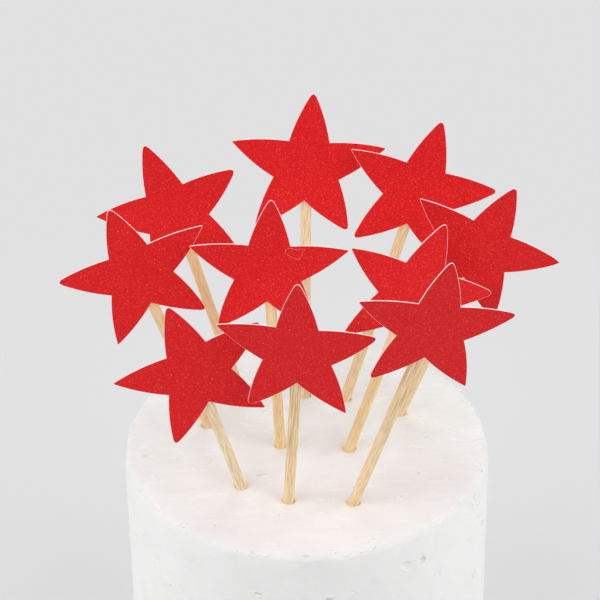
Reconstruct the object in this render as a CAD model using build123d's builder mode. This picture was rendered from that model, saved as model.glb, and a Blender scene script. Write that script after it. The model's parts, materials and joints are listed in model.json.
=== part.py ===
import os
from math import radians, tan

from build123d import *

# A bouquet of glitter star picks standing in a round foam cake dummy.
# Origin at the centre of the dummy's underside, +Z up, -Y towards the viewer, millimetres.

# Foam dummy
foam_radius = 50
foam_height = 100
foam_rim_rounding = 1.5

# Bamboo stick
stick_radius = 1.5
stick_length = 100
stick_point_length = 7
stick_point_radius = 0.4
stick_above_centre = 8

# Die-cut star card with blunt tips and full sides, and the glitter layer on its face
star_tips = 5
star_radius = 21.25
star_notch_radius = 9.4
star_tip_width = 0.9
star_side_bulge_height = 0.5
card_thickness = 0.25
glitter_thickness = 0.1
glitter_inset = 0.1

# Hot-melt bead between the stick and the back of the card, with the slant of its sides in degrees
glue_length = 14
glue_width = 6
glue_height = 2
glue_side_angle = 35
glue_film_thickness = 0.1

# Hole that each stick leaves in the foam
hole_clearance = 0.05
hole_end_gap = 0.3
cut_overrun = 2

# Place of each pick: foot to the right and to the back, lean to the right and to the back in degrees,
# height of the star's centre along the stick, turn about the stick and slant of the card in degrees.
# Feet and heights are shares of the star's radius, so that larger stars stand further apart.
pick_place_shares = {
    "back_middle": (-0.01, 0.97, 1, 11.5, 3.2, 5, -4.5),
    "back_right": (0.52, 0.87, 18, 11, 3.06, -3, 0),
    "right": (1.23, 0.55, 21, 1, 2.72, -7, -4),
    "front_right": (0.58, -1.3, 18.5, -2, 2.92, 8, 6.5),
    "middle_right": (0.55, -0.2, 19.5, 8.5, 2.39, 5, -4),
    "middle": (-0.33, -0.1, -2.5, 3.5, 2.64, 1, -5.5),
    "front_middle": (-0.23, -1.25, 3.5, 0, 2.33, -8, 2.5),
    "front_left": (-0.83, -0.93, -17, 4, 1.8, 13, 2),
    "left": (-1.27, 0.34, -19, 2, 2.49, 9, 0),
    "back_left": (-0.82, 0.86, -17.5, 13.5, 2.74, -4, 4.5),
}

on_foot = (Align.CENTER, Align.CENTER, Align.MIN)
os.makedirs("parts", exist_ok=True)


def star_outline(inset):
    """Face of the star, drawn in all round by inset, with one blunt tip along +Y."""
    notch = Vector(0, star_notch_radius)
    tip_left = Vector(-star_tip_width / 2, star_radius)
    tip_right = Vector(star_tip_width / 2, star_radius)
    half_angle = 180 / star_tips
    with BuildSketch() as star:
        with BuildLine():
            for arm in range(star_tips):
                arm_angle = -2 * half_angle * arm
                left = tip_left.rotate(Axis.Z, arm_angle)
                right = tip_right.rotate(Axis.Z, arm_angle)
                SagittaArc(notch.rotate(Axis.Z, arm_angle + half_angle), left, star_side_bulge_height)
                Line(left, right)
                SagittaArc(right, notch.rotate(Axis.Z, arm_angle - half_angle), star_side_bulge_height)
        make_face()
        if inset:
            offset(amount=-inset, kind=Kind.INTERSECTION, mode=Mode.REPLACE)
    return star.sketch


def pointed_rod(length, growth, mode):
    """Round rod up the local Z with its point at the bottom, thicker all round by growth."""
    Cone(
        stick_point_radius + growth, stick_radius + growth, stick_point_length, align=on_foot, mode=mode
    )
    with Locations((0, 0, stick_point_length)):
        Cylinder(stick_radius + growth, length - stick_point_length, align=on_foot, mode=mode)


class Pick:
    """Planes of one pick, from its row in the table of places."""

    def __init__(self, right_share, back_share, lean_right, lean_back, height_share, turn, slant):
        foot = (right_share * star_radius, back_share * star_radius, foam_height)
        along = (tan(radians(lean_right)), tan(radians(lean_back)), 1)
        height = height_share * star_radius
        # Foot of the stick on the foam: local Z up the stick, local X out of the star's face
        self.foot = Plane(origin=foot, x_dir=(0, -1, 0), z_dir=along).moved(Rotation(0, 0, turn))
        self.depth = stick_length - stick_above_centre - height
        self.point = self.foot.offset(-self.depth)
        # Back of the card: local Z out of the face, local Y up the stick
        back = self.foot.from_local_coords(Vector(stick_radius + glue_film_thickness, 0, height))
        self.seat = Plane(origin=back, x_dir=self.foot.y_dir, z_dir=self.foot.x_dir)
        self.card = self.seat.moved(Rotation(0, 0, slant))


picks = {place: Pick(*row) for place, row in pick_place_shares.items()}
card_outline = star_outline(0)
glitter_outline = star_outline(glitter_inset)

# Foam dummy with a softened upper rim and one hole for each stick
with BuildPart() as foam:
    with BuildSketch():
        Circle(foam_radius)
    extrude(amount=foam_height)
    fillet(foam.faces().sort_by(Axis.Z)[-1].edges(), foam_rim_rounding)
    for pick in picks.values():
        with Locations(pick.point.offset(-hole_end_gap)):
            pointed_rod(pick.depth + hole_end_gap + cut_overrun, hole_clearance, Mode.SUBTRACT)
foam.part.label = "foam_dummy"
export_step(foam.part, "parts/foam_dummy.step")

for place, pick in picks.items():
    # Bamboo stick, sharpened at the bottom and cut square at the top
    with BuildPart(pick.point) as stick:
        pointed_rod(stick_length, 0, Mode.ADD)
    stick.part.label = f"{place}_stick"
    export_step(stick.part, f"parts/{place}_stick.step")

    # White star card across the front of the stick
    with BuildPart() as card:
        with BuildSketch(pick.card):
            add(card_outline)
        extrude(amount=card_thickness)
    card.part.label = f"{place}_star_card"
    export_step(card.part, f"parts/{place}_star_card.step")

    # Glitter layer on the card's face, a little smaller than the card
    with BuildPart() as glitter:
        with BuildSketch(pick.card.offset(card_thickness)):
            add(glitter_outline)
        extrude(amount=glitter_thickness)
    glitter.part.label = f"{place}_glitter_face"
    export_step(glitter.part, f"parts/{place}_glitter_face.step")

    # Bead of hot-melt glue that holds the stick to the card's back
    with BuildPart() as glue:
        with BuildSketch(pick.seat):
            SlotOverall(glue_length, glue_width, rotation=90)
        extrude(amount=-glue_height, taper=glue_side_angle)
        with Locations(pick.point):
            pointed_rod(stick_length, 0, Mode.SUBTRACT)
    glue.part.label = f"{place}_glue_bead"
    export_step(glue.part, f"parts/{place}_glue_bead.step")
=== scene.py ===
import json
from math import atan2, cos, pi, radians, sin, sqrt, tau

import bpy
import numpy as np
from mathutils import Matrix, Vector, noise
from mathutils.bvhtree import BVHTree


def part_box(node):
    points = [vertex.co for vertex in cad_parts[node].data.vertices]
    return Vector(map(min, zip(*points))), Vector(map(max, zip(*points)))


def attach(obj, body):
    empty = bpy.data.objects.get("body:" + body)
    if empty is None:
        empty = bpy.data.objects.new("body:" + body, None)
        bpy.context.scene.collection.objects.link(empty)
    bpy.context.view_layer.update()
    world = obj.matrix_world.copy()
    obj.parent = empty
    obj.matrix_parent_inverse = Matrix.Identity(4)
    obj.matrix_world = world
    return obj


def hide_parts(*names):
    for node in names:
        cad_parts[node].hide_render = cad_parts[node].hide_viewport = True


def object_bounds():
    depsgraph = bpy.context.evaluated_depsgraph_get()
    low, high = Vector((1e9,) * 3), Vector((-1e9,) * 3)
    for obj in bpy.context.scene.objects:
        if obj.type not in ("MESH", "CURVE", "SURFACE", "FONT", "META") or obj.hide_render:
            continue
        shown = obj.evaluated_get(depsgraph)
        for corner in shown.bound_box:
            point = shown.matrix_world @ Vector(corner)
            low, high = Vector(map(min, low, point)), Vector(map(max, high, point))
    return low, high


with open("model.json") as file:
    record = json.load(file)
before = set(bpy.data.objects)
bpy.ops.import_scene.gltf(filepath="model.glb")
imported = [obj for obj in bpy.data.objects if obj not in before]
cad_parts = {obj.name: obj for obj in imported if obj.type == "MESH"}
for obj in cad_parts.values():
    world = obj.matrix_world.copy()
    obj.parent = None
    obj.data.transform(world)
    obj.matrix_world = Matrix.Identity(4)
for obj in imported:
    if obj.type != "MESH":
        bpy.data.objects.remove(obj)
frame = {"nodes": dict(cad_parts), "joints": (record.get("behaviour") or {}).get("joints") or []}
cad_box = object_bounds()

# Ten red glitter star picks standing in a round block of white foam, in metres.
# Places and main sizes come from the frame; the sizes below are the finer ones.

# Camera, in the photograph's square frame, with sensor and lens in millimetres and angles in degrees
camera_sensor = 36
camera_lens = 167.7
camera_distance = 0.738
camera_elevation = 34.68
camera_roll = -0.73
camera_aim_above_foam = 0.0463
camera_aim_left = 0.0012

# Floor and light. Each soft box has its azimuth and elevation in degrees, and its watts.
floor_width = 6
floor_cloud_width = 0.6
floor_shade_reach = 0.06
floor_fade_reach = 0.27
backdrop_colour = (0.75, 0.75, 0.755, 1)
surroundings_strength = 0.1
lamp_distance = 1.2
lamp_width = 0.9
soft_boxes = {
    "left_box": (-90, 25, 5.5),
    "left_front_box": (-45, 42, 5.6),
    "right_front_box": (45, 42, 5.6),
    "right_box": (90, 25, 5.5),
    "back_box": (180, 50, 4.6),
}

# Angle in degrees from which an edge of the card or wood looks sharp
sharp_edge_angle = 40

# Foam block, with the angle in degrees from which its edges look sharp
foam_rim_rounding = 0.0024
foam_grid_step = 0.00085
foam_rim_steps = 6
foam_edge_angle = 50
grain_width = 0.0005
bead_width = 0.0032
bead_relief = 0.00012
bead_share = 0.6
cut_wave = 0.009
cut_relief = 0.0003
patch_share = 0.6
side_wave = 0.034
side_relief = 0.0009
side_stretch = 3
stroke_length = 0.0045
stroke_width = 0.0014
stroke_relief = 0.00013
stroke_crowd_share = 0.4
scraped_colour = (0.96, 0.955, 0.95, 1)
rim_wave = 0.006
rim_relief = 0.0009
flat_foot_height = 0.0005

# Torn chips in the foam and loose crumbs on it. Pairs of shares are the least and the most, and swing
# and tilt are in degrees.
chip_counts = {"top": 16, "rim": 40, "side": 260}
chip_length = 0.0044
chip_size_shares = (0.25, 1)
chip_slimness_shares = (0.4, 0.9)
chip_flatness_shares = (0.4, 0.7)
chip_spacing = 0.0046
chip_lip_share = 0.6
chip_rings = 6
chip_columns = 12
crumb_counts = {"top": 420, "rim": 40, "side": 300}
crumb_length = 0.0032
crumb_size_shares = (0.2, 1)
crumb_slimness_shares = (0.25, 0.5)
crumb_thickness = 0.0002
crumb_cluster_width = 0.014
crumb_crowd_shares = (-0.5, 0.5)
crumb_rings = 4
crumb_columns = 10
cut_swing = 25
lump_tilt = 28
lump_tilt_shares = (0.3, 1)
lump_unevenness_share = 0.35
rim_seat_shares = (0.2, 0.4)

# Holes in the foam, torn wider to the left and right
hole_clearance = 0.00005
hole_end_gap = 0.0003
mouth_width = 0.0006
mouth_depth = 0.0007
mouth_tear_power = 3
# Tan tint round each hole's mouth: partly wood stain, partly painted shade and bounce light from the
# stick
stain_and_bounce_width = 0.0009
stain_and_bounce_depth = 0.0025
stain_and_bounce_colour = (0.92, 0.75, 0.53, 1)

# Bamboo sticks, each with how pale it is, how dark the grey streaks on its upper part are and how red it
# is.
# The streaks set in between two shares of the stick's length.
stick_sides = 24
stick_ring_step = 0.0025
stick_point_length = 0.007
stick_point_radius = 0.0004
stick_top_bevel = 0.0003
fibre_width = 0.0002
fibre_relief = 0.00007
fibre_stretch = 17
streak_width = 0.0004
streak_start_share = 0.4
streak_end_share = 0.75
red_tint = (0.98, 0.87, 0.85, 1)
stick_look_shares = {
    "back_middle": (0.75, 0.2, 0),
    "back_right": (0.5, 0.2, 0.2),
    "right": (0.5, 0.2, 0),
    "front_right": (0.5, 1, 0.1),
    "middle_right": (0, 0, 0),
    "middle": (0.1, 0.2, 0.1),
    "front_middle": (0.4, 1, 0),
    "front_left": (1, 0, 0),
    "left": (0.5, 0.3, 0.6),
    "back_left": (0.2, 0.3, 0.95),
}

# One die cuts all the stars, with two sharp tips and three round ones. Tips count clockwise from the
# top one, 0, and each star's second sharp tip is two on from its first. In the solid's outline a corner
# belongs to a tip if it turns by more than tip_turn degrees.
star_tips = 5
sharp_tip_gap = 2
tip_steps = 8
tip_turn = 30
round_tip_reach = 0.0023
sharp_tip_reach = 0.0007
glitter_tip_inset = 0.00027
first_sharp_tips = {
    "back_middle": 4,
    "back_right": 2,
    "right": 4,
    "front_right": 2,
    "middle_right": 2,
    "middle": 4,
    "front_middle": 2,
    "front_left": 2,
    "left": 1,
    "back_left": 2,
}

# How squarely a face of a star looks forward if it belongs to the star's front
front_share = 0.9

# Painted shade on each star's glitter: how bright it is, darker on the stars that stand upright and face
# the lights less squarely
glitter_painted_shade_shares = {
    "back_middle": 1,
    "back_right": 0.97,
    "right": 0.92,
    "front_right": 0.91,
    "middle_right": 0.95,
    "middle": 0.98,
    "front_middle": 0.9,
    "front_left": 0.94,
    "left": 0.96,
    "back_left": 0.94,
}

# Crease in the middle star's face, as shares of the star's radius to the right and up
crease_width = 0.00012
crease_height = 0.00004
crease_sides = 3
crease_shares = [
    (0.23, 0.28),
    (0.26, 0.31),
    (0.31, 0.30),
    (0.37, 0.28),
    (0.42, 0.29),
    (0.48, 0.28),
    (0.44, 0.24),
    (0.42, 0.18),
    (0.39, 0.14),
    (0.33, 0.16),
    (0.26, 0.21),
    (0.22, 0.24),
]

# Card, glitter grains and loose glitter flakes of the stars, with the flakes' tilt in degrees
card_fibre_width = 0.0003
card_relief = 0.00003
glitter_grain_width = 0.0002
grain_tilt_share = 0.3
flake_count = 80
flake_sides = 6
flake_radius = 0.0001
flake_size_shares = (0.6, 1.2)
flake_lift = 0.00003
flake_tilt = 14
flake_inset_share = 0.03
sparkle_power = 3

# Glue drops behind the stars
glue_rings = 10
glue_columns = 36
glue_wave = 0.003
glue_unevenness_share = 0.16

random = np.random.default_rng(5)


def mesh_object(name, points, faces, material):
    """New smooth mesh object, with its place in its mesh."""
    mesh = bpy.data.meshes.new(name)
    mesh.from_pydata([tuple(point) for point in points], [], [tuple(face) for face in faces])
    mesh.polygons.foreach_set("use_smooth", [True] * len(mesh.polygons))
    mesh.materials.append(material)
    piece = bpy.data.objects.new(name, mesh)
    bpy.context.scene.collection.objects.link(piece)
    return piece


def store(piece, name, values):
    """Keeps one number for each corner of a piece, which its finish reads."""
    piece.data.attributes.new(name, "FLOAT", "POINT").data.foreach_set("value", values)


def node_points(node):
    """Corners of a node's mesh as an array."""
    mesh = frame["nodes"][node].data
    return np.array([corner.co for corner in mesh.vertices])


def span(points, direction):
    """Least and greatest reach of some points along a direction."""
    reach = points @ np.array(direction)
    return reach.min(), reach.max()


def crosswise(axis):
    """Two unit vectors that are square to axis and to each other."""
    first = axis.orthogonal().normalized()
    return first, axis.cross(first)


def spoke(across, turn):
    """Unit vector at a turn about an axis, from the two vectors across it."""
    return across[0] * cos(turn) + across[1] * sin(turn)


class Pick:
    """Axis, sizes and star plane of one pick, read from the frame."""

    def __init__(self, joint):
        self.place = joint["name"].removesuffix("_pull")
        self.body = joint["child"]
        self.axis = Vector(joint["axis"]).normalized()
        self.across = crosswise(self.axis)
        stick = node_points(f"{self.place}_stick")
        spans = [span(stick, direction) for direction in (*self.across, self.axis)]
        self.point = self.axis * spans[2][0]
        for direction, (low, high) in zip(self.across, spans):
            self.point += direction * (low + high) / 2
        self.length = spans[2][1] - spans[2][0]
        self.radius = max(high - low for low, high in spans[:2]) / 2
        star = frame["nodes"][f"{self.place}_glitter_face"].data.polygons
        area = sum(face.area for face in star)
        self.centre = sum((face.center * face.area for face in star), Vector()) / area
        away = self.centre - self.point
        away -= self.axis * away.dot(self.axis)
        front = [face for face in star if face.normal.dot(away) > face.normal.length * away.length / 2]
        self.normal = sum((face.normal * face.area for face in front), Vector()).normalized()
        self.sideways = self.axis.cross(self.normal)

    def foot(self, height):
        """Where the stick's axis meets a level plane."""
        return self.point + self.axis * (height - self.point.z) / self.axis.z


class Finish:
    """A node material, with short calls for adding nodes and wiring them."""

    def __init__(self, name, **surface):
        self.material = bpy.data.materials.new(name)
        self.material.use_nodes = True
        self.tree = self.material.node_tree
        self.surface = self.tree.nodes["Principled BSDF"]
        self.wire(self.surface, {key.replace("_", " "): value for key, value in surface.items()})

    def wire(self, node, inputs):
        """Sets each input to a value, or links it to another node's output."""
        for key, value in inputs.items():
            if isinstance(value, bpy.types.NodeSocket):
                self.tree.links.new(value, node.inputs[key])
            else:
                node.inputs[key].default_value = value

    def add(self, kind, inputs, **settings):
        """New node of a kind, with its settings and inputs."""
        node = self.tree.nodes.new("ShaderNode" + kind)
        for key, value in settings.items():
            setattr(node, key, value)
        self.wire(node, inputs)
        return node

    def coordinates(self):
        """Place on the piece, in metres."""
        return self.add("TexCoord", {}).outputs["Object"]

    def attribute(self, name):
        """Value stored at the piece's corners."""
        return self.add("Attribute", {}, attribute_name=name).outputs

    def maths(self, operation, first, second):
        """One sum with two numbers."""
        return self.add("Math", {0: first, 1: second}, operation=operation).outputs[0]

    def vectors(self, operation, first, second):
        """One sum with two vectors."""
        return self.add("VectorMath", {0: first, 1: second}, operation=operation).outputs[0]

    def noise(self, place, size, detail):
        """Soft cloud of a given feature size."""
        node = self.add("TexNoise", {"Vector": place, "Scale": 1 / size, "Detail": detail})
        return node.outputs["Fac"]

    def cells(self, place, size):
        """Cell pattern of a given cell width."""
        return self.add("TexVoronoi", {"Vector": place, "Scale": 1 / size})

    def ramp(self, amount, *stops):
        """Colour along a number, from stops of (place, colour)."""
        node = self.add("ValToRGB", {"Fac": amount})
        elements = node.color_ramp.elements
        while len(elements) < len(stops):
            elements.new(1)
        for element, (place, colour) in zip(elements, stops):
            element.position = place
            element.color = (*colour, 1)
        return node.outputs["Color"]

    def mix(self, kind, amount, first, second):
        """Blend of two colours."""
        node = self.add("MixRGB", {"Fac": amount, "Color1": first, "Color2": second}, blend_type=kind)
        return node.outputs["Color"]

    def bump(self, height, depth, strength):
        """Fine relief from a number, depth metres high."""
        made = self.add("Bump", {"Height": height, "Distance": depth, "Strength": strength})
        self.wire(self.surface, {"Normal": made.outputs["Normal"]})


def foam_finish():
    """White cut foam: chalky grain, soft grey patches, and a tan tint round the holes that is partly
    wood stain and partly painted shade and bounce light from the sticks.
    """
    finish = Finish("white_foam", Roughness=0.9, Specular_IOR_Level=0.06)
    place = finish.coordinates()
    beads = finish.cells(place, bead_width).outputs["Distance"]
    cloud = finish.noise(place, cut_wave, detail=4)
    grain = finish.noise(place, grain_width, detail=3)
    patches = finish.maths("MULTIPLY", cloud, patch_share)
    mottle = finish.maths("ADD", patches, finish.maths("MULTIPLY", grain, 1 - patch_share))
    white = finish.ramp(mottle, (0.35, (0.88, 0.877, 0.871)), (0.62, (0.918, 0.914, 0.908)))
    drawn = finish.vectors("MULTIPLY", place, (stroke_width / stroke_length, 1, 1))
    strokes = finish.noise(drawn, stroke_width, detail=2)
    crowd = finish.noise(place, crumb_cluster_width, detail=1)
    strokes = finish.maths("ADD", strokes, finish.maths("MULTIPLY", crowd, stroke_crowd_share))
    facing = finish.add("SeparateXYZ", {"Vector": finish.add("NewGeometry", {}).outputs["Normal"]})
    marks = finish.ramp(strokes, (0.83, (0, 0, 0)), (0.96, (1, 1, 1)))
    marks = finish.mix("MULTIPLY", 1, marks, facing.outputs["Z"])
    white = finish.mix("MIX", marks, white, scraped_colour)
    # Tan round the holes: partly wood stain, partly painted shade and bounce light from the sticks
    colour = finish.mix("MIX", finish.attribute("stain_and_bounce_light")["Fac"], white, stain_and_bounce_colour)
    finish.wire(finish.surface, {"Base Color": colour})
    relief = finish.maths("SUBTRACT", grain, finish.maths("MULTIPLY", beads, bead_share))
    finish.bump(finish.maths("ADD", relief, marks), bead_relief, strength=0.6)
    return finish.material


def crumb_finish():
    """Whiter skins of torn beads."""
    finish = Finish("foam_crumbs", Roughness=0.7, Specular_IOR_Level=0.3)
    cloud = finish.noise(finish.coordinates(), crumb_length, detail=2)
    colour = finish.ramp(cloud, (0.3, (0.91, 0.905, 0.90)), (0.7, (0.965, 0.965, 0.96)))
    finish.wire(finish.surface, {"Base Color": colour})
    return finish.material


def bamboo_finish():
    """Split bamboo, warm, pale or red by the stick, with fine fibres along it and darker grey streaks on
    its upper part.
    """
    finish = Finish("bamboo", Specular_IOR_Level=0.35)
    place = finish.attribute("grain")["Vector"]
    fibres = finish.noise(place, fibre_width, detail=4)
    streaks = finish.noise(place, streak_width, detail=5)
    warm = finish.ramp(
        fibres,
        (0.32, (0.79, 0.52, 0.23)),
        (0.5, (0.97, 0.69, 0.36)),
        (0.66, (0.99, 0.80, 0.54)),
    )
    pale = finish.ramp(
        fibres,
        (0.32, (0.69, 0.50, 0.27)),
        (0.5, (0.90, 0.71, 0.46)),
        (0.66, (0.99, 0.89, 0.73)),
    )
    wood = finish.mix("MIX", finish.attribute("pale")["Fac"], warm, pale)
    upper_streaks = finish.ramp(streaks, (0.44, (1, 1, 1)), (0.58, (0.70, 0.65, 0.59)))
    wood = finish.mix("MULTIPLY", finish.attribute("upper_streaks")["Fac"], wood, upper_streaks)
    wood = finish.mix("MULTIPLY", finish.attribute("red")["Fac"], wood, red_tint)
    rough = finish.ramp(fibres, (0.3, (0.75, 0.75, 0.75)), (0.7, (0.45, 0.45, 0.45)))
    finish.wire(finish.surface, {"Base Color": wood, "Roughness": rough})
    finish.bump(fibres, fibre_relief, strength=0.5)
    return finish.material


def card_finish():
    """Uncoated white card with fine paper fibres."""
    finish = Finish("white_card", Roughness=0.8, Specular_IOR_Level=0.25)
    fibres = finish.noise(finish.coordinates(), card_fibre_width, detail=4)
    colour = finish.ramp(fibres, (0.3, (0.90, 0.87, 0.84)), (0.7, (0.96, 0.94, 0.91)))
    finish.wire(finish.surface, {"Base Color": colour})
    finish.bump(fibres, card_relief, strength=0.4)
    return finish.material


def glitter_finish():
    """Fine red glitter with painted shade star by star: every grain has its own shade and its own tilt,
    and the palest few grains are painted glints.
    """
    finish = Finish("red_glitter", Roughness=0.5, Specular_IOR_Level=0.2)
    grains = finish.cells(finish.coordinates(), glitter_grain_width)
    shade = finish.add("SeparateColor", {"Color": grains.outputs["Color"]})
    # The palest few grains, at the top of the ramp, are painted glints
    red = finish.ramp(
        shade.outputs["Red"],
        (0.0, (0.71, 0.007, 0.010)),
        (0.75, (0.82, 0.010, 0.013)),
        (0.97, (0.86, 0.032, 0.036)),
        (1.0, (0.91, 0.115, 0.120)),
    )
    # Painted shade: each star's glitter is darkened by its own share
    painted_shade = finish.attribute("painted_shade")["Fac"]
    finish.wire(finish.surface, {"Base Color": finish.mix("MULTIPLY", 1, red, painted_shade)})
    tilt = finish.vectors("SUBTRACT", grains.outputs["Color"], (0.5, 0.5, 0.5))
    tilt = finish.vectors("MULTIPLY", tilt, [grain_tilt_share] * 3)
    flat = finish.add("NewGeometry", {}).outputs["Normal"]
    tilted = finish.vectors("NORMALIZE", finish.vectors("ADD", flat, tilt), (0, 0, 0))
    finish.wire(finish.surface, {"Normal": tilted})
    return finish.material


def flake_finish():
    """Loose flakes, from red to pale pink, the pale pink ones painted glints."""
    finish = Finish("glitter_flakes", Roughness=0.3, Specular_IOR_Level=0.5)
    colour = finish.ramp(
        finish.attribute("sparkle")["Fac"],
        (0.0, (0.76, 0.012, 0.015)),
        (0.6, (0.82, 0.06, 0.065)),
        (1.0, (0.92, 0.40, 0.38)),
    )
    finish.wire(finish.surface, {"Base Color": colour})
    return finish.material


def glue_finish():
    """Cloudy hot-melt glue."""
    finish = Finish("hot_melt_glue", Roughness=0.25, Subsurface_Weight=0.4, Subsurface_Scale=glue_wave)
    cloud = finish.noise(finish.coordinates(), glue_wave, detail=2)
    colour = finish.ramp(cloud, (0.3, (0.72, 0.62, 0.42)), (0.7, (0.84, 0.77, 0.60)))
    finish.wire(finish.surface, {"Base Color": colour})
    return finish.material


def smooth_step(amount):
    """0 to 1 with soft ends."""
    share = np.clip(amount, 0, 1)
    return share * share * (3 - 2 * share)


def share_noise(place):
    """Smooth noise from 0 to 1."""
    return (1 + noise.noise(place)) / 2


def octave_noise(place, octaves):
    """Noise round 0 in octaves, each half as wide and half as high as the one before."""
    return noise.fractal(place, 1, 2, octaves)


def disc_grid(steps):
    """Square grid of (row, column) places drawn out to a round disc of radius 1."""
    places = np.zeros((2 * steps + 1, 2 * steps + 1, 2))
    for row in range(-steps, steps + 1):
        for column in range(-steps, steps + 1):
            if not (row or column):
                continue
            if abs(column) >= abs(row):
                reach = column / steps
                turn = pi / 4 * row / column
            else:
                reach = row / steps
                turn = pi / 2 - pi / 4 * column / row
            places[row + steps, column + steps] = (reach * cos(turn), reach * sin(turn))
    return places


def grid_border(numbers):
    """The border of a square array of numbers, once round."""
    return [*numbers[0, :-1], *numbers[:-1, -1], *numbers[-1, :0:-1], *numbers[:0:-1, 0]]


def foam_shell(radius, height):
    """Points, outward directions and faces of the closed block before it is roughened."""
    flat_radius = radius - foam_rim_rounding
    steps = round(flat_radius / foam_grid_step)
    disc = disc_grid(steps)
    count = disc.shape[0]
    top = np.arange(count * count).reshape(count, count)
    spokes = disc.reshape(-1, 2)
    points = [(x * flat_radius, y * flat_radius, height) for x, y in spokes]
    outward = [(0, 0, 1)] * len(spokes)
    rings = [grid_border(top)]
    turns = [spokes[number] for number in rings[0]]
    middle = height - foam_rim_rounding
    profile = []
    for step in range(1, foam_rim_steps + 1):
        tilt = pi / 2 * step / foam_rim_steps
        profile.append((sin(tilt), cos(tilt), middle + foam_rim_rounding * cos(tilt)))
    side_steps = round(middle / foam_grid_step)
    for step in range(1, side_steps):
        profile.append((1, 0, middle * (1 - step / side_steps)))
    for out, up, level in profile:
        first = len(points)
        reach = flat_radius + foam_rim_rounding * out
        points += [(x * reach, y * reach, level) for x, y in turns]
        outward += [(x * out, y * out, up) for x, y in turns]
        rings.append(list(range(first, len(points))))
    bottom = len(points) + np.arange(count * count).reshape(count, count)
    points += [(x * radius, y * radius, 0) for x, y in spokes]
    outward += [(0, 0, -1)] * len(spokes)
    rings.append(grid_border(bottom))
    faces = []
    for grid, order in ((top, 1), (bottom, -1)):
        for row in range(count - 1):
            for column in range(count - 1):
                near = [grid[row, column], grid[row, column + 1]]
                far = [grid[row + 1, column + 1], grid[row + 1, column]]
                faces.append((near + far)[::order])
    for upper, lower in zip(rings, rings[1:]):
        for place in range(len(upper)):
            after = (place + 1) % len(upper)
            faces.append((upper[place], lower[place], lower[after], upper[after]))
    return np.array(points), np.array(outward, float), faces


def foam_depths(points, radius, height):
    """How far the rough surface lies under the smooth block at each point."""
    depths = np.zeros(len(points))
    for number, point in enumerate(points):
        place = Vector(point)
        bead = noise.voronoi(place / bead_width)[0][0]
        cut = octave_noise(place / cut_wave, 4)
        side = noise.noise(Vector((place.x, place.y, place.z / side_stretch)) / side_wave)
        drawn = (place.x / stroke_length, place.y / stroke_width, place.z / stroke_width)
        stroke = octave_noise(drawn, 2)
        depths[number] = bead_relief * bead + cut_relief * max(cut, 0) + side_relief * max(side, 0)
        depths[number] += stroke_relief * max(1 + stroke, 0)
    reach = np.hypot(points[:, 0], points[:, 1])
    to_rim = np.hypot(radius - reach, height - points[:, 2])
    wear = [(1 + octave_noise(Vector(point) / rim_wave, 2)) / 2 for point in points]
    depths += rim_relief * smooth_step(1 - to_rim / rim_wave) * np.array(wear)
    return depths * smooth_step(points[:, 2] / flat_foot_height)


def surface_place(part, radius, height):
    """Random place on the block's top, rim or side, with the ways along, across and out of it there."""
    turn = random.uniform(0, tau)
    up = Vector((0, 0, 1))
    away = Vector((cos(turn), sin(turn), 0))
    if part == "top":
        place = away * radius * sqrt(random.uniform(0, 1)) + up * height
        along, outward = Vector((1, 0, 0)), up
    elif part == "rim":
        slope = away + up
        place = away * radius + up * height
        place -= slope * foam_rim_rounding * random.uniform(*rim_seat_shares)
        along, outward = up.cross(away), slope.normalized()
    else:
        place = away * radius + up * height * random.uniform(0, 1)
        along, outward = up.cross(away), away
    swing = radians(random.uniform(-cut_swing, cut_swing))
    across = outward.cross(along)
    swung_along = along * cos(swing) + across * sin(swing)
    swung_across = across * cos(swing) - along * sin(swing)
    return place, swung_along, swung_across, outward


def lump_axes(part, along, across, outward, half, slimness, flatness):
    """Half axes of a chip or crumb that turns its face to the front on the top and upward elsewhere."""
    tilt = radians(random.uniform(*lump_tilt_shares) * lump_tilt) * (-1 if part == "top" else 1)
    slope = across * cos(tilt) - outward * sin(tilt)
    lift = outward * cos(tilt) + across * sin(tilt)
    return along * half, slope * half * slimness, lift * half * flatness


def lump(centre, axes, rings, columns, first):
    """Points and faces of a closed uneven lump with three half axes."""
    points = [centre + axes[2]]
    for ring in range(1, rings):
        tilt = pi * ring / rings
        for column in range(columns):
            turn = tau * column / columns
            out = (axes[0] * cos(turn) + axes[1] * sin(turn)) * sin(tilt) + axes[2] * cos(tilt)
            points.append(centre + out * (1 - lump_unevenness_share * random.uniform(0, 1)))
    points.append(centre - axes[2])
    faces = []
    last = first + len(points) - 1
    for column in range(columns):
        after = (column + 1) % columns
        faces.append((first, first + 1 + column, first + 1 + after))
        for low in range(first + 1, last - columns, columns):
            faces.append((low + column, low + columns + column, low + columns + after, low + after))
        low = last - columns
        faces.append((low + column, last, low + after))
    return points, faces


def hole_rings(pick, height):
    """Rings of the hole under a stick: pointed at the bottom and torn wider at the mouth."""
    depth = (pick.foot(height) - pick.point).length
    levels = [
        (-hole_end_gap, stick_point_radius, 0),
        (stick_point_length - hole_end_gap, pick.radius, 0),
        (depth - mouth_depth, pick.radius, 0),
        (depth + mouth_depth, pick.radius, 2 * mouth_width),
    ]
    rings = []
    for level, ring_radius, tear in levels:
        ring = []
        for side in range(stick_sides):
            out = spoke(pick.across, tau * side / stick_sides)
            torn = tear * abs(out.x) ** mouth_tear_power
            torn *= share_noise(out + pick.point / stick_point_length)
            ring.append(pick.point + pick.axis * level + out * (ring_radius + hole_clearance + torn))
        rings.append(ring)
    return rings


def tube_faces(ring_count, sides, first=0):
    """Faces of a closed tube of equal rings, with a flat end on each side."""
    faces = [[first + side for side in reversed(range(sides))]]
    for ring in range(ring_count - 1):
        for side in range(sides):
            after = (side + 1) % sides
            low = first + ring * sides
            faces.append((low + side, low + after, low + sides + after, low + sides + side))
    faces.append([first + (ring_count - 1) * sides + side for side in range(sides)])
    return faces


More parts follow.
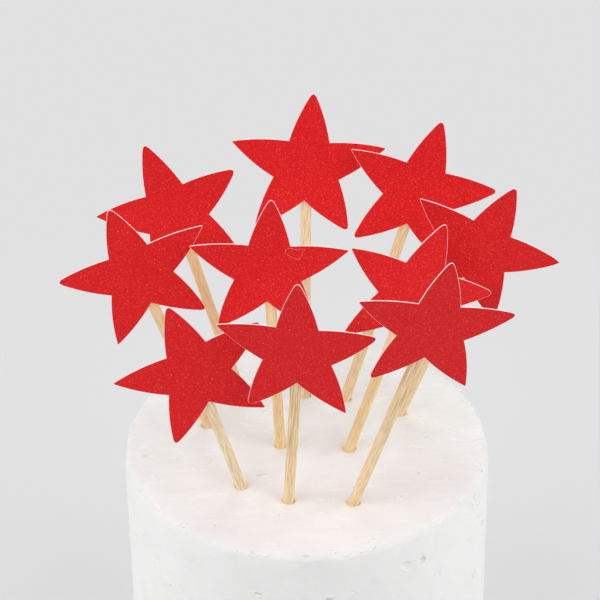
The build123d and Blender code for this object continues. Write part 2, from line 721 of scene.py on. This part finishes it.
def foam_cuts(picks, radius, height):
    """Points and faces of the holes and chips to cut from the block, and the lip under each chip."""
    points = []
    faces = []
    for pick in picks:
        rings = hole_rings(pick, height)
        faces += tube_faces(len(rings), stick_sides, len(points))
        points += [corner for ring in rings for corner in ring]
    taken = [pick.foot(height) for pick in picks]
    lips = []
    for part, count in chip_counts.items():
        for _ in range(count):
            place, along, across, out = surface_place(part, radius, height)
            half = chip_length * random.uniform(*chip_size_shares) / 2
            slimness = random.uniform(*chip_slimness_shares)
            flatness = random.uniform(*chip_flatness_shares)
            axes = lump_axes(part, along, across, out, half, slimness, flatness)
            if place.z < chip_spacing or min((place - other).length for other in taken) < chip_spacing:
                continue
            taken.append(place)
            chip_points, chip_faces = lump(place, axes, chip_rings, chip_columns, len(points))
            points += chip_points
            faces += chip_faces
            lips.append((part, place - axes[1], along, across, out, half * chip_lip_share))
    return points, faces, lips


def cut_away(block, points, faces):
    """Cuts closed shapes out of the block."""
    cutter = mesh_object("foam_cutter", points, faces, block.data.materials[0])
    cut = block.modifiers.new("cut", "BOOLEAN")
    cut.object = cutter
    cut.operation = "DIFFERENCE"
    cut.solver = "EXACT"
    graph = bpy.context.evaluated_depsgraph_get()
    block.data = bpy.data.meshes.new_from_object(block.evaluated_get(graph))
    block.modifiers.clear()
    bpy.data.objects.remove(cutter)


def tint_mouths_with_stain_and_bounce(block, picks, height):
    """Stores the tan tint near each stick, partly wood stain and partly painted shade and bounce light,
    fading down the hole.
    """
    corners = np.array([corner.co for corner in block.data.vertices])
    stain_and_bounce_light = np.zeros(len(corners))
    for pick in picks:
        away = np.linalg.norm(np.cross(corners - np.array(pick.point), np.array(pick.axis)), axis=1)
        stain_and_bounce_light = np.maximum(stain_and_bounce_light, smooth_step(1 - (away - pick.radius) / stain_and_bounce_width))
    store(block, "stain_and_bounce_light", stain_and_bounce_light * smooth_step(1 - (height - corners[:, 2]) / stain_and_bounce_depth))


def make_foam(picks):
    """Foam block with a rough cut surface, torn chips and one hole under each stick."""
    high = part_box("foam_dummy")[1]
    points, outward, faces = foam_shell(high.x, high.z)
    depths = foam_depths(points, high.x, high.z)
    block = mesh_object("foam_block", points - outward * depths[:, None], faces, foam_finish())
    cut_points, cut_faces, lips = foam_cuts(picks, high.x, high.z)
    cut_away(block, cut_points, cut_faces)
    block.data.set_sharp_from_angle(angle=radians(foam_edge_angle))
    tint_mouths_with_stain_and_bounce(block, picks, high.z)
    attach(block, "dummy")
    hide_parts("foam_dummy")
    return block, lips


def make_crumbs(block, lips, picks):
    """Small torn skins lying on the foam's surface in clusters, and as a lip under each chip."""
    low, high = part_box("foam_dummy")
    surface = BVHTree.FromPolygons(
        [corner.co for corner in block.data.vertices], [face.vertices for face in block.data.polygons]
    )
    feet = [pick.foot(high.z) for pick in picks]
    places = list(lips)
    for part, count in crumb_counts.items():
        for _ in range(count):
            place, along, across, out = surface_place(part, high.x, high.z)
            half = crumb_length * random.uniform(*crumb_size_shares) / 2
            crowd = noise.noise(place / crumb_cluster_width)
            if crowd > random.uniform(*crumb_crowd_shares):
                places.append((part, place, along, across, out, half))
    points = []
    faces = []
    for part, place, along, across, out, half in places:
        slimness = random.uniform(*crumb_slimness_shares)
        axes = lump_axes(part, along, across, out, half, slimness, crumb_thickness / half / 2)
        if min((place - foot).length for foot in feet) < chip_spacing:
            continue
        seat = surface.find_nearest(place)[0]
        crumb_points, crumb_faces = lump(seat, axes, crumb_rings, crumb_columns, len(points))
        points += crumb_points
        faces += crumb_faces
    crumbs = mesh_object("foam_crumbs", np.clip(points, low, high), faces, crumb_finish())
    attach(crumbs, "dummy")


def make_stick(pick, finish):
    """Slightly ribbed bamboo stick with a sharpened lower end."""
    levels = [(0, stick_point_radius), (stick_point_length, pick.radius)]
    body_length = pick.length - stick_point_length - stick_top_bevel
    body_steps = round(body_length / stick_ring_step)
    for step in range(1, body_steps + 1):
        levels.append((stick_point_length + body_length * step / body_steps, pick.radius))
    levels.append((pick.length, pick.radius - stick_top_bevel))
    seed = Vector(random.uniform(-1, 1, 3))
    pale_share, streak_share, red_share = stick_look_shares[pick.place]
    points = []
    grain = []
    upper_streaks = []
    for level, ring_radius in levels:
        past_start = level / pick.length - streak_start_share
        streak_rise = smooth_step(past_start / (streak_end_share - streak_start_share))
        for side in range(stick_sides):
            turn = tau * side / stick_sides
            drawn = Vector((cos(turn), sin(turn), level / pick.length)) * pick.radius
            rib = share_noise(drawn / fibre_width + seed / fibre_width)
            out = spoke(pick.across, turn) * (ring_radius - fibre_relief * rib)
            points.append(pick.point + pick.axis * level + out)
            around = Vector((cos(turn) * pick.radius, sin(turn) * pick.radius, level / fibre_stretch))
            grain.append(seed + around)
            upper_streaks.append(streak_share * streak_rise)
    stick = mesh_object(f"{pick.place}_bamboo", points, tube_faces(len(levels), stick_sides), finish)
    along = stick.data.attributes.new("grain", "FLOAT_VECTOR", "POINT")
    along.data.foreach_set("vector", np.array(grain).ravel())
    store(stick, "pale", [pale_share] * len(points))
    store(stick, "upper_streaks", upper_streaks)
    store(stick, "red", [red_share] * len(points))
    stick.data.set_sharp_from_angle(angle=radians(sharp_edge_angle))
    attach(stick, pick.body)
    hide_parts(f"{pick.place}_stick")


def make_flakes(pick, finish):
    """Glitter flakes scattered over a star's face, each a little lifted and tilted."""
    mesh = frame["nodes"][f"{pick.place}_glitter_face"].data
    front = [face for face in mesh.polygons if face.normal.dot(pick.normal) > front_share]
    sizes = np.array([face.area for face in front])
    points = []
    faces = []
    sparkle = []
    for number in random.choice(len(front), flake_count, p=sizes / sizes.sum()):
        corners = [mesh.vertices[corner].co for corner in front[number].vertices]
        shares = random.dirichlet((1, 1, 1))
        middle = sum((corner * share for corner, share in zip(corners, shares)), Vector())
        middle += (pick.centre - middle) * flake_inset_share
        lean = radians(flake_tilt) * random.uniform(-1, 1, 2)
        first, second = crosswise(pick.normal)
        up = (pick.normal + first * lean[0] + second * lean[1]).normalized()
        across = crosswise(up)
        size = flake_radius * random.uniform(*flake_size_shares)
        faces += tube_faces(2, flake_sides, len(points))
        for lift in (-flake_lift, flake_lift):
            for side in range(flake_sides):
                points.append(middle + up * lift + spoke(across, tau * side / flake_sides) * size)
        sparkle += [random.uniform(0, 1) ** sparkle_power] * (2 * flake_sides)
    flakes = mesh_object(f"{pick.place}_flakes", points, faces, finish)
    store(flakes, "sparkle", sparkle)
    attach(flakes, pick.body)


def star_border(mesh, normal):
    """Corners of a star's front face, in order round it."""
    runs = set()
    for face in mesh.polygons:
        if face.normal.dot(normal) > front_share:
            corners = list(face.vertices)
            runs.update(zip(corners, corners[1:] + corners[:1]))
    following = {first: second for first, second in runs if (second, first) not in runs}
    corner = min(following)
    border = []
    while len(border) < len(following):
        border.append(mesh.vertices[corner].co)
        corner = following[corner]
    return border


def tip_curve(before, first, second, after, reach):
    """Curve over a blunt tip's two corners, starting and ending reach below where its sides meet."""
    gap = second - first
    rise = (first - before).normalized()
    fall = (after - second).normalized()
    top = first + rise * gap.length_squared / gap.dot(rise) / 2
    reach = min(reach, (top - before).length, (top - after).length)
    low, far = top - rise * reach, top + fall * reach
    shares = [step / tip_steps for step in range(tip_steps + 1)]
    return [low.lerp(top, share).lerp(top.lerp(far, share), share) for share in shares]


def shape_tips(pick, border, drop, inset):
    """A star's border with its blunt tips drawn sharp or round, and no tip past the solids' box."""
    first_sharp = first_sharp_tips[pick.place]
    sharp = (first_sharp, (first_sharp + sharp_tip_gap) % star_tips)
    count = len(border)
    blunt = []
    for number in range(count):
        back = border[number - 1] - border[number]
        ahead = border[(number + 1) % count] - border[number]
        blunt.append(ahead.cross(back).dot(pick.normal) > 0 and back.angle(-ahead) > radians(tip_turn))
    drawn = []
    for number, corner in enumerate(border):
        if not blunt[number]:
            drawn.append(corner)
        elif blunt[(number + 1) % count]:
            after, beyond = border[(number + 1) % count], border[(number + 2) % count]
            out = ((corner + after) / 2 - pick.centre).normalized()
            turn = atan2(out.dot(pick.sideways), out.dot(pick.axis))
            tip = round(turn * star_tips / tau) % star_tips
            reach = sharp_tip_reach if tip in sharp else round_tip_reach
            curve = tip_curve(border[number - 1], corner, after, beyond, reach - inset)
            end = curve[tip_steps // 2]
            gaps = [edge - Vector(np.clip(edge, *cad_box)) for edge in (end, end - drop)]
            past = max(gaps, key=lambda gap: gap.length)
            if past.length:
                curve = [point - out * past.length_squared / past.dot(out) for point in curve]
            drawn += curve
    return drawn


def make_star(pick, node, piece, finish):
    """One layer of a star, as thick as its node, with its tips as the die cuts them."""
    name = f"{pick.place}_{node}"
    glitters = node == "glitter_face"
    back, front = span(node_points(name), pick.normal)
    drop = pick.normal * (front - back)
    outline = star_border(frame["nodes"][name].data, pick.normal)
    border = shape_tips(pick, outline, drop, glitter_tip_inset if glitters else 0)
    points = [corner - drop for corner in border] + border
    layer = mesh_object(f"{pick.place}_{piece}", points, tube_faces(2, len(border)), finish)
    layer.data.set_sharp_from_angle(angle=radians(sharp_edge_angle))
    if glitters:
        # Painted shade share for this star's glitter
        store(layer, "painted_shade", [glitter_painted_shade_shares[pick.place]] * len(points))
    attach(layer, pick.body)
    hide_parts(name)


def make_crease(pick, finish):
    """Thin pale closed ridge where the glitter is creased."""
    star = node_points(f"{pick.place}_glitter_face")
    rise = span(star, pick.normal)[1] - pick.centre.dot(pick.normal)
    radius = np.linalg.norm(star - np.array(pick.centre), axis=1).max()
    path = []
    for right_share, up_share in crease_shares:
        offset = (pick.sideways * right_share + pick.axis * up_share) * radius
        path.append(pick.centre + offset + pick.normal * rise)
    points = []
    for before, corner, after in zip(path[-1:] + path[:-1], path, path[1:] + path[:1]):
        outward = (after - before).cross(pick.normal).normalized() * crease_width / 2
        points.append(corner - outward - pick.normal * crease_height)
        points.append(corner + outward - pick.normal * crease_height)
        points.append(corner + pick.normal * crease_height)
    count = len(points)
    faces = []
    for low in range(0, count, crease_sides):
        high = (low + crease_sides) % count
        for side in range(crease_sides):
            after = (side + 1) % crease_sides
            faces.append((low + side, high + side, high + after, low + after))
    crease = mesh_object(f"{pick.place}_crease", points, faces, finish)
    store(crease, "sparkle", [1.0] * count)
    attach(crease, pick.body)


def make_glue(pick, finish):
    """Uneven drop of glue over the stick at the back of the card."""
    bead = node_points(f"{pick.place}_glue_bead")
    sideways = -pick.sideways
    left, right = span(bead, sideways)
    bottom, top = span(bead, pick.axis)
    back, front = span(bead, pick.normal)
    middle = sideways * (left + right) / 2 + pick.axis * (bottom + top) / 2 + pick.normal * front
    half_width = (right - left) / 2
    half_length = (top - bottom) / 2
    rise = front - back
    points = []
    for ring in range(glue_rings):
        tilt = pi / 2 * ring / glue_rings
        for column in range(glue_columns):
            turn = tau * column / glue_columns
            wobble = share_noise((middle + Vector((cos(turn), sin(turn), 0)) * glue_wave) / glue_wave)
            reach = cos(tilt) * (1 - glue_unevenness_share * wobble)
            offset = sideways * cos(turn) * half_width + pick.axis * sin(turn) * half_length
            points.append(middle + offset * reach - pick.normal * rise * sin(tilt))
    points.append(middle - pick.normal * rise)
    faces = tube_faces(glue_rings, glue_columns)[:-1]
    last_ring = (glue_rings - 1) * glue_columns
    for column in range(glue_columns):
        after = (column + 1) % glue_columns
        faces.append((last_ring + column, last_ring + after, len(points) - 1))
    glue = mesh_object(f"{pick.place}_glue_drop", points, faces, finish)
    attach(glue, pick.body)
    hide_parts(f"{pick.place}_glue_bead")


def show_backdrop(tree, shader, glow, output, fade):
    """Shows the plain backdrop instead of a shader, by fade, to the eye, in gloss and through glass."""
    rays = tree.nodes.new("ShaderNodeLightPath").outputs
    seen = rays["Is Camera Ray"]
    steps = [("MAXIMUM", rays["Is Glossy Ray"]), ("MAXIMUM", rays["Is Transmission Ray"])]
    if fade:
        steps.append(("MULTIPLY", fade))
    for operation, other in steps:
        step = tree.nodes.new("ShaderNodeMath")
        step.operation = operation
        tree.links.new(seen, step.inputs[0])
        tree.links.new(other, step.inputs[1])
        seen = step.outputs[0]
    glow.inputs["Color"].default_value = backdrop_colour
    blend = tree.nodes.new("ShaderNodeMixShader")
    tree.links.new(seen, blend.inputs[0])
    tree.links.new(shader.outputs[0], blend.inputs[1])
    tree.links.new(glow.outputs[0], blend.inputs[2])
    tree.links.new(blend.outputs[0], output)


def make_floor():
    """Plain pale floor that takes the shadow near the block and fades to the backdrop further out."""
    half = floor_width / 2
    corners = [(-half, -half, 0), (half, -half, 0), (half, half, 0), (-half, half, 0)]
    finish = Finish("pale_floor", Roughness=0.9, Specular_IOR_Level=0.1)
    place = finish.coordinates()
    cloud = finish.noise(place, floor_cloud_width, detail=1)
    colour = finish.ramp(cloud, (0, (0.81, 0.81, 0.815)), (1, (0.83, 0.83, 0.835)))
    finish.wire(finish.surface, {"Base Color": colour})
    reach = finish.add("VectorMath", {0: place}, operation="LENGTH").outputs["Value"]
    fade = finish.add("MapRange", {0: reach, 1: floor_shade_reach, 2: floor_fade_reach}).outputs[0]
    glow = finish.add("Emission", {})
    output = finish.tree.nodes["Material Output"].inputs[0]
    show_backdrop(finish.tree, finish.surface, glow, output, fade)
    floor = mesh_object("floor", corners, [(0, 1, 2, 3)], finish.material)


def aim(thing, target, distance, azimuth, elevation):
    """Puts a lamp or camera round a target and points it there. Azimuth 0 is the front, 90 the right."""
    turn = Matrix.Rotation(radians(azimuth), 4, "Z") @ Matrix.Rotation(radians(90 - elevation), 4, "X")
    thing.matrix_world = Matrix.Translation(target) @ turn @ Matrix.Translation((0, 0, distance))


def make_lamp(name, target, azimuth, elevation, watts):
    """Large square soft box."""
    lamp = bpy.data.lights.new(name, "AREA")
    lamp.size = lamp_width
    lamp.energy = watts
    holder = bpy.data.objects.new(name, lamp)
    bpy.context.scene.collection.objects.link(holder)
    aim(holder, target, lamp_distance, azimuth, elevation)


def make_light(target):
    """Faint white surroundings with soft boxes at both sides, at both sides of the front and behind."""
    world = bpy.data.worlds.new("studio")
    bpy.context.scene.world = world
    world.use_nodes = True
    tree = world.node_tree
    surroundings = tree.nodes["Background"]
    surroundings.inputs["Color"].default_value = (1, 1, 1, 1)
    surroundings.inputs["Strength"].default_value = surroundings_strength
    glow = tree.nodes.new("ShaderNodeBackground")
    show_backdrop(tree, surroundings, glow, tree.nodes["World Output"].inputs[0], None)
    for name, (azimuth, elevation, watts) in soft_boxes.items():
        make_lamp(name, target, azimuth, elevation, watts)


def make_camera(foam_top):
    """Camera at the photograph's angle."""
    camera = bpy.data.cameras.new("camera")
    camera.sensor_width = camera_sensor
    camera.lens = camera_lens
    holder = bpy.data.objects.new("camera", camera)
    bpy.context.scene.collection.objects.link(holder)
    target = Vector((-camera_aim_left, 0, foam_top + camera_aim_above_foam))
    aim(holder, target, camera_distance, 0, camera_elevation)
    holder.matrix_world = holder.matrix_world @ Matrix.Rotation(radians(camera_roll), 4, "Z")
    bpy.context.scene.camera = holder


picks = [Pick(joint) for joint in frame["joints"]]
foam_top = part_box("foam_dummy")[1].z

foam_block, chip_lips = make_foam(picks)
make_crumbs(foam_block, chip_lips, picks)
bamboo = bamboo_finish()
card = card_finish()
glitter = glitter_finish()
flake = flake_finish()
glue = glue_finish()
for pick in picks:
    make_stick(pick, bamboo)
    make_star(pick, "star_card", "card", card)
    make_star(pick, "glitter_face", "glitter", glitter)
    make_flakes(pick, flake)
    make_glue(pick, glue)
    if pick.place == "middle":
        make_crease(pick, flake)

make_floor()
make_light(Vector((0, 0, foam_top)))
make_camera(foam_top)
bpy.context.scene.view_settings.view_transform = "Standard"
